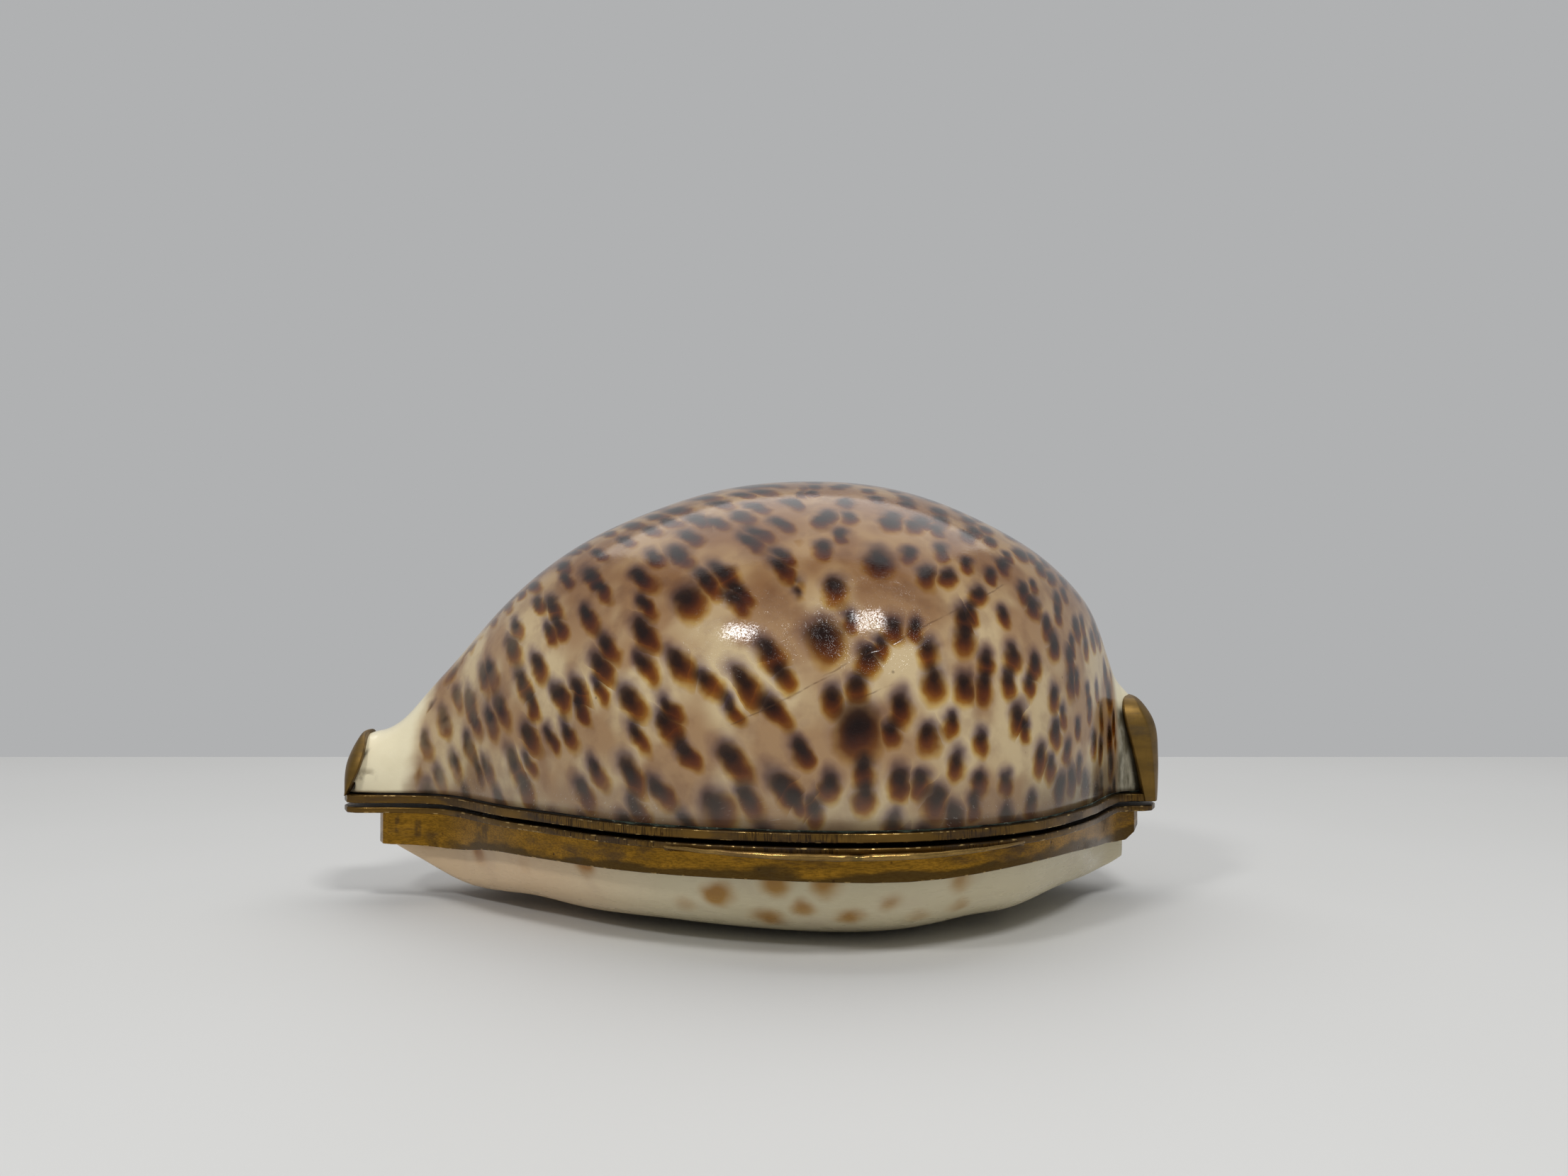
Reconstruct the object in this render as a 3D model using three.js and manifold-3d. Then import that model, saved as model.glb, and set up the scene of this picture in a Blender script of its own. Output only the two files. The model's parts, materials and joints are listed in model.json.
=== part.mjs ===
// Cowrie shell snuff box: a tiger cowrie sawn in two along its length and mounted in brass.
// The domed back is the box. The toothed underside is the lid, and the box stands on it, hinged behind.
// Millimetres. X runs along the shell, Y towards the hinge, Z up, and the origin is under the middle.
import * as THREE from 'three';
import { mergeVertices } from 'three/addons/utils/BufferGeometryUtils.js';
import Module from 'manifold-3d';

const wasm = await Module();
wasm.setup();

// Overall sizes
const halfLength = 42.5; // middle to the outer face of either end cap
const curveOverrun = 0.5; // how far the curves of the shell run on past its end caps
const closureHeight = 10; // surface it stands on to the middle of the joint between the plates
const frontDepth = 30.6; // mid-line to the fullest point of the front rim
const rearDepth = 26.3; // mid-line to the fullest point of the rear rim
const crestHeight = 33.4; // joint to the top of the back
const bellyDepth = 10.1; // joint to the lowest point of the underside, before it was worn flat

// Narrow ends of the shell, where its two canals leave it
const leftTipFront = 6.1;
const leftTipRear = 4.5;
const rightTipFront = 4.6;
const rightTipRear = 6;
const leftBeakHeight = 7.3;
const rightBeakHeight = 12.2;

// Walls of the shell
const sideWall = 3;
const crownWall = 2.2;
const bulgeAngle = 0.24; // how far the sides curve under towards the rim, in radians
const archSquareness = 2.15; // 2 is an ellipse, more is squarer

// Most that walls and details take where the shell gets narrow, as shares of what is left there
const sideWallShare = 0.4;
const crownWallShare = 0.35;
const beakRoundShare = 0.75;
const endRoundShare = 0.5;
const toothShare = 0.3;
const lipRiseShare = 0.5;
const undercutShare = 0.6;

// Plates
const jointGap = 0.4;
const coverPlateThickness = 0.8;
const lidPlateThickness = 0.6;
const plateTipSetIn = 0.5; // plate tip behind the outer face of its end cap
const plateCorner = 2.5;
const flangeWidth = 5.5; // brass between the rim and the mouth of the box
const mouthEndWidth = 8; // the mouth stops where the room between the flanges is this wide
const mouthCorner = 3.4;
const shellSetIn = 0.5; // shell behind the edge of its plate
const cementThickness = 0.35;
const cementSetIn = 0.15; // cement behind the face of the shell

// Bezel that locates the lid in the mouth
const bezelClearance = 0.3;
const bezelThickness = 0.7;
const bezelHeight = 1.6;

// Apron, the brass band round the underside
const apronLeftSetIn = 4.1; // end of the apron behind the outer face of the end cap
const apronRightSetIn = 2.3;
const apronSetIn = 0.6;
const apronThickness = 0.8;
const apronHeight = 2.4; // in the middle
const apronRightCut = 1.6; // height taken off the right-hand corner
const apronCorner = 2;

// Thumb lip
const lipLeft = -7;
const lipRight = 21.4;
const lipReach = 2;
const lipThickness = 0.9;
const lipFullness = 0.7; // less is blunter towards the ends
const lipNick = 9.5; // place of the nick along the lip
const lipNickRadius = 1.1;
const lipNickDepth = 0.7;

// Underside with its toothed slit
const baseClearance = 0.3;
const baseRightSetIn = 0.8;
const baseEndRound = 1.6;
const slitHalfWidth = 1.7;
const slitBow = 0.9; // how far the slit bows to the front in the middle
const lipUndercut = 3.2; // how much wider the slit is at the plate than at its mouth
const lipRise = 2.4; // height over which the lips roll into the slit
const toothPitch = 3.1;
const toothHeight = 0.65;
const fullestLipShare = 0.42; // place of the lowest line of each lip between slit and edge
const marginRoundness = 0.85; // 1 is an ellipse, less is squarer

// Hinge
const hingeCentre = 7;
const hingeLength = 24;
const seatCut = 1.1; // straight cut into the rear rim that seats the hinge
const hingeStrip = 0.8;
const barrelRadius = 1.3;
const barrelClearance = 0.2;
const pinRadius = 0.6;
const pinClearance = 0.2;
const knuckleCount = 5;
const knuckleGap = 0.3;

// End caps
const capWall = 0.5;
const capClearance = 0.2;
const beakSetIn = 0.5; // end of the shell behind the inner face of the cap, beyond the clearance
const beakShoulder = 0.5; // length over which the shell narrows to fit into a cap
const shoulderSetOff = 0.2; // how far ahead of the cap's edge that ends
// The edge of a cap is an arc seen from the front: reach is how far in it comes, at the height edgeLevel
const leftCap = {
  height: 7.5, halfWidth: 5.2, depth: 3.6, squareness: 3,
  reach: 3.2, edgeLevel: 4.6, edgeRadius: 6.5, beakRound: 4.5,
};
const rightCap = {
  height: 10.8, halfWidth: 4.9, depth: 4.6, squareness: 6,
  reach: 3.7, edgeLevel: 6.8, edgeRadius: 15, beakRound: 6,
};

// Number of facets, and how far rows of points crowd towards their ends
const outlineSteps = 34;
const domeSteps = 54;
const archSteps = 22;
const innerArchSteps = 13;
const marginSteps = 8;
const lipSteps = 5;
const stationsPerTooth = 3;
const barrelSteps = 10;
const capSteps = 18;
const outlineCrowding = 0.75;
const domeCrowding = 0.5;

// Levels measured from the floor
const coverPlateBottom = closureHeight + jointGap / 2;
const coverPlateTop = coverPlateBottom + coverPlateThickness;
const domeRim = coverPlateTop + cementThickness;
const lidPlateTop = closureHeight - jointGap / 2;
const lidPlateBottom = lidPlateTop - lidPlateThickness;
const baseTop = lidPlateBottom - cementThickness;

// Places along and across the box
const shellReach = halfLength + curveOverrun;
const plateTip = halfLength - plateTipSetIn;
const hingeSeat = rearDepth - seatCut;
const hingeAxisY = hingeSeat + hingeStrip + barrelClearance + barrelRadius;

// Brass and shell colours
const brass = { color: 0x9a7434, roughness: 0.42, metalness: 1 };
const paleShell = { color: 0xe4ded0, roughness: 0.22, metalness: 0 };
const spottedShell = { color: 0xb99f86, roughness: 0.18, metalness: 0 };
const cement = { color: 0x5c6a5e, roughness: 0.85, metalness: 0 };

// Smooth curve y(x) through a few points: a natural cubic spline
function smoothCurve(points) {
  const last = points.length - 1;
  const bend = new Array(last + 1).fill(0);
  const carry = new Array(last + 1).fill(0);
  const steepness = (i) => (points[i + 1][1] - points[i][1]) / (points[i + 1][0] - points[i][0]);
  for (let i = 1; i < last; i++) {
    const span = points[i + 1][0] - points[i - 1][0];
    const share = (points[i][0] - points[i - 1][0]) / span;
    const pivot = share * bend[i - 1] + 2;
    bend[i] = (share - 1) / pivot;
    carry[i] = (6 * (steepness(i) - steepness(i - 1)) / span - share * carry[i - 1]) / pivot;
  }
  bend[last] = 0;
  for (let i = last - 1; i >= 0; i--) bend[i] = bend[i] * bend[i + 1] + carry[i];
  return (x) => {
    let i = 0;
    while (i < last - 1 && x > points[i + 1][0]) i++;
    const width = points[i + 1][0] - points[i][0];
    const b = (x - points[i][0]) / width;
    const a = 1 - b;
    const sag = ((a ** 3 - a) * bend[i] + (b ** 3 - b) * bend[i + 1]) * width * width / 6;
    return a * points[i][1] + b * points[i + 1][1] + sag;
  };
}

// Points given as shares of the reach of the shell and of a depth or height
const scaled = (points, size) => points.map(([x, y]) => [x * shellReach, y * size]);

// Half-depth of the rim in front of the mid-line
const frontRim = smoothCurve([
  [-shellReach, leftTipFront],
  [-0.78 * shellReach, leftTipFront],
  ...scaled([[-0.72, 0.23], [-0.65, 0.325], [-0.56, 0.47], [-0.43, 0.625], [-0.3, 0.775],
    [-0.15, 0.895], [0.02, 0.967], [0.2, 1], [0.37, 0.963], [0.52, 0.86], [0.64, 0.715],
    [0.73, 0.54], [0.8, 0.37]], frontDepth),
  [0.88 * shellReach, rightTipFront + 0.4],
  [0.93 * shellReach, rightTipFront],
  [shellReach, rightTipFront],
]);

// Half-depth of the rim behind the mid-line
const rearRim = smoothCurve([
  [-shellReach, leftTipRear],
  [-0.8 * shellReach, leftTipRear + 0.2],
  ...scaled([[-0.72, 0.28], [-0.6, 0.47], [-0.43, 0.72], [-0.26, 0.885], [-0.1, 0.965],
    [0.16, 1], [0.42, 0.96], [0.56, 0.875], [0.69, 0.7], [0.8, 0.45]], rearDepth),
  [0.88 * shellReach, rightTipRear + 0.9],
  [0.94 * shellReach, rightTipRear],
  [shellReach, rightTipRear],
]);

// Height of the crest of the back above the joint
const crest = smoothCurve([
  [-shellReach, leftBeakHeight - 0.3],
  [-0.9 * shellReach, leftBeakHeight],
  ...scaled([[-0.84, 0.268], [-0.79, 0.345], [-0.73, 0.43], [-0.65, 0.55], [-0.53, 0.7], [-0.39, 0.823],
    [-0.25, 0.903], [-0.1, 0.966], [0.03, 0.994], [0.15, 1], [0.31, 0.983], [0.45, 0.934], [0.59, 0.853],
    [0.73, 0.737], [0.8, 0.648], [0.845, 0.55]], crestHeight),
  [0.885 * shellReach, rightBeakHeight + 1],
  [0.91 * shellReach, rightBeakHeight],
  [0.95 * shellReach, rightBeakHeight - 0.8],
  [shellReach, rightBeakHeight - 3],
]);

// Depth of the belly below the joint
const belly = smoothCurve(scaled([
  [-1, 0.12], [-0.9, 0.335], [-0.83, 0.49], [-0.77, 0.63], [-0.7, 0.78], [-0.64, 0.84], [-0.5, 0.835],
  [-0.39, 0.893], [-0.2, 0.92], [-0.05, 0.957], [0.18, 1], [0.38, 0.955], [0.48, 0.89],
  [0.56, 0.87], [0.65, 0.79], [0.74, 0.73], [0.83, 0.7], [0.88, 0.62], [1, 0.2],
], bellyDepth));

// Height of the apron, which is tallest towards its ends
const apronDrop = smoothCurve(scaled([
  [-1, 1.42], [-0.77, 1.4], [-0.68, 1.42], [-0.6, 1.14], [-0.5, 1.05], [-0.2, 0.98], [0.2, 1],
  [0.37, 1], [0.53, 0.84], [0.7, 0.83], [0.79, 1.05], [0.87, 1.3], [1, 1.4],
], apronHeight));

// The same rim moved inwards by a distance measured square to it
const slopeStep = 0.05;
function movedIn(rim, distance) {
  return (x) => {
    const slope = (rim(x + slopeStep) - rim(x - slopeStep)) / (2 * slopeStep);
    return rim(x) - distance * Math.hypot(1, slope);
  };
}

// Place on either side where the room left between both rims moved inwards narrows to a width
const searchSteps = 30;
function narrowsTo(width, distance, side) {
  const room = (x) => movedIn(frontRim, distance)(x) + movedIn(rearRim, distance)(x);
  let wide = 0;
  let narrow = side * halfLength;
  for (let i = 0; i < searchSteps; i++) {
    const x = (wide + narrow) / 2;
    if (room(x) > width) wide = x;
    else narrow = x;
  }
  return wide;
}

// Half-depth near a rounded end
function roundedEnd(half, distance, radius) {
  if (distance >= radius) return half;
  return half - radius + Math.sqrt(Math.max(0, radius ** 2 - (radius - distance) ** 2));
}

// Places from left to right, closer together towards both ends
function places(left, right, steps, crowding) {
  return Array.from({ length: steps + 1 }, (_, i) => {
    const u = (2 * i) / steps - 1;
    const share = (1 - crowding) * u + crowding * Math.sin((Math.PI / 2) * u);
    return (left + right) / 2 + share * (right - left) / 2;
  });
}

// Closed outline seen from above, with the front edge first and rounded corners at both ends
function planOutline({ front, rear, left, right, corner }) {
  const row = places(left, right, outlineSteps, outlineCrowding);
  const half = (rim, x) => roundedEnd(rim(x), Math.min(x - left, right - x), corner);
  const frontEdge = row.map((x) => new THREE.Vector2(x, -half(front, x)));
  const rearEdge = row.map((x) => new THREE.Vector2(x, half(rear, x))).reverse();
  return [...frontEdge, ...rearEdge];
}

// Flat plate between two levels, with an optional hole
function plate(outline, hole, bottom, top) {
  const shape = new THREE.Shape(outline);
  if (hole) shape.holes.push(new THREE.Path(hole));
  const geometry = new THREE.ExtrudeGeometry(shape, { depth: top - bottom, bevelEnabled: false });
  return geometry.translate(0, 0, bottom);
}

// Shape drawn across the box, with Y to the right and Z up, pushed along X
function extrudeAlongX(shape, start, length) {
  const options = { depth: length, bevelEnabled: false, curveSegments: barrelSteps };
  const geometry = new THREE.ExtrudeGeometry(shape, options);
  const turn = new THREE.Matrix4().makeBasis(
    new THREE.Vector3(0, 1, 0), new THREE.Vector3(0, 0, 1), new THREE.Vector3(1, 0, 0));
  return geometry.applyMatrix4(turn).translate(start, 0, 0);
}

// Skin through a row of closed rings of [x, y, z] points, closed by flat ends unless it meets itself
function loft(rings, meetsItself = false) {
  const size = rings[0].length;
  const index = [];
  const bands = meetsItself ? rings.length : rings.length - 1;
  for (let i = 0; i < bands; i++) {
    const near = i * size;
    const far = ((i + 1) % rings.length) * size;
    for (let j = 0; j < size; j++) {
      const next = (j + 1) % size;
      index.push(near + j, near + next, far + next, near + j, far + next, far + j);
    }
  }
  if (!meetsItself) {
    const endOf = (ring, start, flip) => {
      const flat = ring.map(([, y, z]) => new THREE.Vector2(y, z));
      for (const [a, b, c] of THREE.ShapeUtils.triangulateShape(flat, [])) {
        index.push(start + (flip ? c : a), start + b, start + (flip ? a : c));
      }
    };
    endOf(rings[0], 0, true);
    endOf(rings[rings.length - 1], (rings.length - 1) * size, false);
  }
  const geometry = new THREE.BufferGeometry();
  geometry.setAttribute('position', new THREE.Float32BufferAttribute(rings.flat(2), 3));
  geometry.setIndex(index);
  return geometry;
}

// Ends of the mouth and of the apron
const mouthLeft = narrowsTo(mouthEndWidth, flangeWidth, -1);
const mouthRight = narrowsTo(mouthEndWidth, flangeWidth, 1);
const apronLeft = apronLeftSetIn - halfLength;
const apronRight = halfLength - apronRightSetIn;

// Conversion to and from solids that can be joined and cut
function solid(geometry) {
  const bare = geometry.clone();
  bare.deleteAttribute('normal');
  bare.deleteAttribute('uv');
  const merged = mergeVertices(bare, 1e-4);
  return new wasm.Manifold(new wasm.Mesh({
    numProp: 3,
    vertProperties: new Float32Array(merged.attributes.position.array),
    triVerts: new Uint32Array(merged.index.array),
  }));
}

function geometryOf(body) {
  const mesh = body.getMesh();
  const geometry = new THREE.BufferGeometry();
  geometry.setAttribute('position', new THREE.Float32BufferAttribute(mesh.vertProperties, 3));
  geometry.setIndex([...mesh.triVerts]);
  return geometry;
}

const signedPower = (value, exponent) => Math.sign(value) * Math.abs(value) ** exponent;

// End caps: a cupped tongue that stands on the plate's tip and closes the canal behind it
function capCentre(cap, side) {
  const tips = side < 0 ? [leftTipFront, leftTipRear] : [rightTipFront, rightTipRear];
  return { x: side * (halfLength - cap.depth), y: (tips[1] - tips[0]) / 2 };
}

function cushion(cap, inset) {
  const geometry = new THREE.SphereGeometry(1, 2 * capSteps, capSteps);
  const position = geometry.attributes.position;
  for (let i = 0; i < position.count; i++) {
    const point = new THREE.Vector3().fromBufferAttribute(position, i).normalize();
    const [x, y, z] = point.toArray().map((v) => Math.abs(v) ** cap.squareness);
    point.divideScalar((x + y + z) ** (1 / cap.squareness));
    const height = closureHeight + cap.height - coverPlateTop - inset;
    position.setXYZ(i, point.x * (cap.depth - inset), point.y * (cap.halfWidth - inset), point.z * height);
  }
  return geometry;
}

function endCap(cap, side) {
  const centre = capCentre(cap, side);
  const outer = solid(cushion(cap, 0).translate(centre.x, centre.y, coverPlateTop));
  const inner = solid(cushion(cap, capWall).translate(centre.x, centre.y, coverPlateTop));
  // What stays is above the plate and within a drum that lies across the box
  const drum = new THREE.CylinderGeometry(cap.edgeRadius, cap.edgeRadius, 3 * cap.halfWidth, 4 * capSteps);
  const drumPlace = side * (halfLength - cap.reach + cap.edgeRadius);
  drum.translate(drumPlace, centre.y, coverPlateTop + cap.edgeLevel);
  const cupped = outer.subtract(inner).intersect(solid(drum));
  return geometryOf(cupped.trimByPlane([0, 0, 1], coverPlateTop));
}

// Height inside an end cap above the plate, and how much of it and of the width is left at a place along X
const capInside = (cap) => closureHeight + cap.height - coverPlateTop - capWall;

function capRoom(cap, side, x) {
  const centre = capCentre(cap, side);
  const along = Math.max(0, side * (x - centre.x)) / (cap.depth - capWall);
  return (1 - Math.min(1, along) ** cap.squareness) ** (1 / cap.squareness);
}

// Back of the shell: hollow arches lofted from tip to tip, with an open canal at each end
const domeEnd = halfLength - capWall - capClearance - beakSetIn;
const shoulderEnd = (cap) => halfLength - cap.reach - shoulderSetOff;
const shoulderStart = (cap) => shoulderEnd(cap) - beakShoulder;

function domeSize(x) {
  const side = x < 0 ? -1 : 1;
  const cap = side < 0 ? leftCap : rightCap;
  const fromEnd = domeEnd - Math.abs(x);
  const beakEnd = (half) => roundedEnd(half, fromEnd, Math.min(cap.beakRound, beakRoundShare * half));
  const size = {
    front: beakEnd(movedIn(frontRim, shellSetIn)(x)),
    rear: beakEnd(movedIn(rearRim, shellSetIn)(x)),
    height: closureHeight + crest(x) - domeRim,
  };
  if (Math.abs(x) <= shoulderStart(cap)) return size;
  const centre = capCentre(cap, side);
  const room = capRoom(cap, side, x);
  const halfRoom = (cap.halfWidth - capWall) * room - capClearance;
  size.front = Math.min(size.front, halfRoom - centre.y);
  size.rear = Math.min(size.rear, halfRoom + centre.y);
  size.height = Math.min(size.height, capInside(cap) * room - capClearance - cementThickness);
  return size;
}

function arch({ front, rear, height }, steps) {
  const equator = height * Math.sin(bulgeAngle);
  const exponent = 2 / archSquareness;
  const rimShare = Math.cos(bulgeAngle) ** exponent;
  return Array.from({ length: steps + 1 }, (_, i) => {
    const angle = -bulgeAngle + (i / steps) * (Math.PI + 2 * bulgeAngle);
    const across = signedPower(Math.cos(angle), exponent) / rimShare;
    const up = Math.sin(angle) < 0
      ? equator * Math.sin(angle) / Math.sin(bulgeAngle)
      : (height - equator) * Math.sin(angle) ** exponent;
    const edge = i === 0 || i === steps;
    return [across * (across > 0 ? rear : front), edge ? domeRim : domeRim + equator + up];
  });
}

// Places of the arches, with one at the start and one at the end of each shoulder and none in between
function domePlaces() {
  const crowded = places(-domeEnd, domeEnd, domeSteps, domeCrowding);
  const ends = [[leftCap, -1], [rightCap, 1]];
  const apart = crowded.filter((x) => ends.every(([cap, side]) => (
    side * x < shoulderStart(cap) || side * x > shoulderEnd(cap))));
  const shoulders = ends.flatMap(([cap, side]) => [side * shoulderStart(cap), side * shoulderEnd(cap)]);
  return [...apart, ...shoulders].sort((a, b) => a - b);
}

function domeShell() {
  const rings = domePlaces().map((x) => {
    const outer = domeSize(x);
    const wall = Math.min(sideWall, sideWallShare * Math.min(outer.front, outer.rear));
    const inner = {
      front: outer.front - wall,
      rear: outer.rear - wall,
      height: outer.height - Math.min(crownWall, crownWallShare * outer.height),
    };
    const ring = [...arch(outer, archSteps), ...arch(inner, innerArchSteps).reverse()];
    return ring.map(([y, z]) => [x, y, z]);
  });
  return loft(rings);
}

// Cement bed under the rim of the back
function domeCement() {
  const outer = planOutline({
    front: (x) => domeSize(x).front - cementSetIn,
    rear: (x) => domeSize(x).rear - cementSetIn,
    left: cementSetIn - domeEnd, right: domeEnd - cementSetIn, corner: cementSetIn,
  });
  const inner = planOutline({
    front: movedIn(frontRim, shellSetIn + sideWall), rear: movedIn(rearRim, shellSetIn + sideWall),
    left: mouthLeft - flangeWidth / 2, right: mouthRight + flangeWidth / 2, corner: mouthCorner,
  });
  return plate(outer, inner, coverPlateTop, domeRim);
}

// Cover plate: a flat brass ring, cut straight behind for the hinge
const plateFront = frontRim;
const plateRear = (x) => Math.min(rearRim(x), hingeSeat);

function mouthOutline(inset) {
  return planOutline({
    front: movedIn(frontRim, flangeWidth + inset), rear: movedIn(rearRim, flangeWidth + inset),
    left: mouthLeft + inset, right: mouthRight - inset, corner: mouthCorner - inset,
  });
}

function plateOutline() {
  const ends = { left: -plateTip, right: plateTip, corner: plateCorner };
  return planOutline({ front: plateFront, rear: plateRear, ...ends });
}

const coverPlate = () => plate(plateOutline(), mouthOutline(0), coverPlateBottom, coverPlateTop);
const lidPlate = () => plate(plateOutline(), null, lidPlateBottom, lidPlateTop);

// Bezel: an upright strip on the lid plate that enters the mouth
function lidBezel() {
  const outer = mouthOutline(bezelClearance);
  const inner = mouthOutline(bezelClearance + bezelThickness);
  return plate(outer, inner, lidPlateTop, lidPlateTop + bezelHeight);
}

// Thumb lip: a crescent under the front edge of the lid plate, with a small nick
function thumbLip() {
  const row = places(lipLeft, lipRight, outlineSteps, outlineCrowding / 2);
  const middle = (lipLeft + lipRight) / 2;
  const outerEdge = row.map((x) => {
    const along = (x - middle) / ((lipRight - lipLeft) / 2);
    const nick = Math.max(0, 1 - ((x - lipNick) / lipNickRadius) ** 2);
    const reach = lipReach * (1 - along ** 2) ** lipFullness - lipNickDepth * nick;
    return new THREE.Vector2(x, -(frontRim(x) + Math.max(0, reach)));
  });
  const innerFace = movedIn(frontRim, apronSetIn / 2);
  const innerEdge = row.map((x) => new THREE.Vector2(x, -innerFace(x))).reverse();
  return plate([...outerEdge, ...innerEdge], null, lidPlateBottom - lipThickness, lidPlateBottom);
}

// Apron: a brass band that drops from the lid plate and holds the underside of the shell
function lidApron() {
  const face = (inset, ends) => planOutline({
    front: movedIn(frontRim, inset), rear: movedIn(rearRim, inset),
    left: apronLeft + ends, right: apronRight - ends, corner: apronCorner - ends,
  });
  const outer = face(apronSetIn, 0);
  const inner = face(apronSetIn + apronThickness, apronThickness);
  const lowerEdge = (x) => {
    const atCorner = Math.max(0, 1 - (apronRight - x) / apronCorner);
    return lidPlateBottom - apronDrop(x) + apronRightCut * atCorner;
  };
  return loft(outer.map((point, i) => {
    const level = lowerEdge(point.x);
    const back = inner[i];
    return [[point.x, point.y, lidPlateBottom], [point.x, point.y, level],
      [back.x, back.y, level], [back.x, back.y, lidPlateBottom]];
  }), true);
}

// Underside of the shell: two thick lips with teeth along the slit between them
const baseLeft = apronLeft + apronThickness + baseClearance;
const baseRight = apronRight - apronThickness - baseRightSetIn;
const slitLine = smoothCurve([
  [-shellReach, (leftTipRear - leftTipFront) / 2],
  [0.3 * shellReach, -slitBow],
  [shellReach, (rightTipRear - rightTipFront) / 2],
]);

function baseRing(x, side) {
  const rim = side < 0 ? frontRim : rearRim;
  const held = movedIn(rim, apronSetIn + apronThickness + baseClearance)(x);
  const mouth = slitHalfWidth + side * slitLine(x);
  const endRound = Math.min(baseEndRound, endRoundShare * (held - mouth));
  const edge = roundedEnd(held, Math.min(x - baseLeft, baseRight - x), endRound);
  const ridgeShare = 0.5 - 0.5 * Math.cos(2 * Math.PI * x / toothPitch);
  const tooth = Math.min(toothHeight, toothShare * (edge - mouth)) * ridgeShare;
  const depth = belly(x) - (closureHeight - baseTop);
  const bottom = baseTop - depth;
  const fullest = mouth + fullestLipShare * (edge - mouth);
  const rise = Math.min(lipRise, lipRiseShare * depth);
  const points = [];
  for (let i = 0; i <= marginSteps; i++) {
    const angle = (Math.PI / 2) * (i / marginSteps);
    points.push([fullest + (edge - fullest) * Math.cos(angle) ** marginRoundness,
      baseTop - depth * Math.sin(angle) ** marginRoundness]);
  }
  for (let i = 1; i <= lipSteps; i++) {
    const angle = (Math.PI / 2) * (i / lipSteps);
    const ridge = tooth * Math.sin(angle) ** 2;
    points.push([fullest - (fullest - mouth) * Math.sin(angle) - ridge,
      bottom + rise * (1 - Math.cos(angle)) - ridge / 2]);
  }
  const inside = Math.min(lipUndercut, undercutShare * (edge - mouth));
  points.push([mouth + inside / 2 - tooth / 2, (bottom + rise + baseTop) / 2]);
  points.push([mouth + inside, baseTop]);
  const ring = points.map(([y, z]) => [x, side * y, Math.max(0, z)]);
  return side < 0 ? ring : ring.reverse();
}

function baseShell(side) {
  const steps = Math.round((baseRight - baseLeft) / toothPitch * stationsPerTooth);
  return loft(places(baseLeft, baseRight, steps, 0).map((x) => baseRing(x, side)));
}

// Cement bed between the lid plate and the underside
function baseCement() {
  const set = apronSetIn + apronThickness + baseClearance + cementSetIn;
  const outer = planOutline({
    front: movedIn(frontRim, set), rear: movedIn(rearRim, set),
    left: baseLeft + cementSetIn, right: baseRight - cementSetIn, corner: baseEndRound,
  });
  const mouth = slitHalfWidth + lipUndercut;
  const inner = planOutline({
    front: (x) => mouth - slitLine(x), rear: (x) => mouth + slitLine(x),
    left: baseLeft + 2 * leftTipFront, right: baseRight - 2 * rightTipRear, corner: slitHalfWidth,
  });
  return plate(outer, inner, baseTop, lidPlateBottom);
}

// Hinge leaf: a strip along the plate's straight cut, with every other knuckle of the barrel
function hingeLeaf(firstKnuckle, bottom, top) {
  const knuckleLength = (hingeLength - (knuckleCount - 1) * knuckleGap) / knuckleCount;
  const start = hingeCentre - hingeLength / 2;
  const stripShape = new THREE.Shape([
    new THREE.Vector2(hingeSeat, bottom), new THREE.Vector2(hingeSeat + hingeStrip, bottom),
    new THREE.Vector2(hingeSeat + hingeStrip, top), new THREE.Vector2(hingeSeat, top)]);
  const tabShape = new THREE.Shape([
    new THREE.Vector2(hingeSeat, bottom), new THREE.Vector2(hingeAxisY, bottom),
    new THREE.Vector2(hingeAxisY, top), new THREE.Vector2(hingeSeat, top)]);
  const round = (radius) => new THREE.Shape().absarc(hingeAxisY, closureHeight, radius, 0, 2 * Math.PI);
  let leaf = solid(extrudeAlongX(stripShape, start, hingeLength));
  for (let k = firstKnuckle; k < knuckleCount; k += 2) {
    const at = start + k * (knuckleLength + knuckleGap);
    leaf = leaf.add(solid(extrudeAlongX(tabShape, at, knuckleLength)));
    leaf = leaf.add(solid(extrudeAlongX(round(barrelRadius), at, knuckleLength)));
  }
  const bore = round(pinRadius + pinClearance);
  const boreLength = hingeLength + 2 * knuckleGap;
  return geometryOf(leaf.subtract(solid(extrudeAlongX(bore, start - knuckleGap, boreLength))));
}

function hingePin() {
  const shape = new THREE.Shape().absarc(hingeAxisY, closureHeight, pinRadius, 0, 2 * Math.PI);
  return extrudeAlongX(shape, hingeCentre - hingeLength / 2, hingeLength);
}

// Assembly, moved so that the origin is under the middle of its depth
const frontReach = frontDepth + lipReach;
const rearReach = hingeAxisY + barrelRadius;
const box = new THREE.Group();
box.position.y = (frontReach - rearReach) / 2;

function addPiece(name, geometry, finish) {
  const mesh = new THREE.Mesh(geometry, new THREE.MeshStandardMaterial(finish));
  mesh.name = name;
  box.add(mesh);
}

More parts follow.
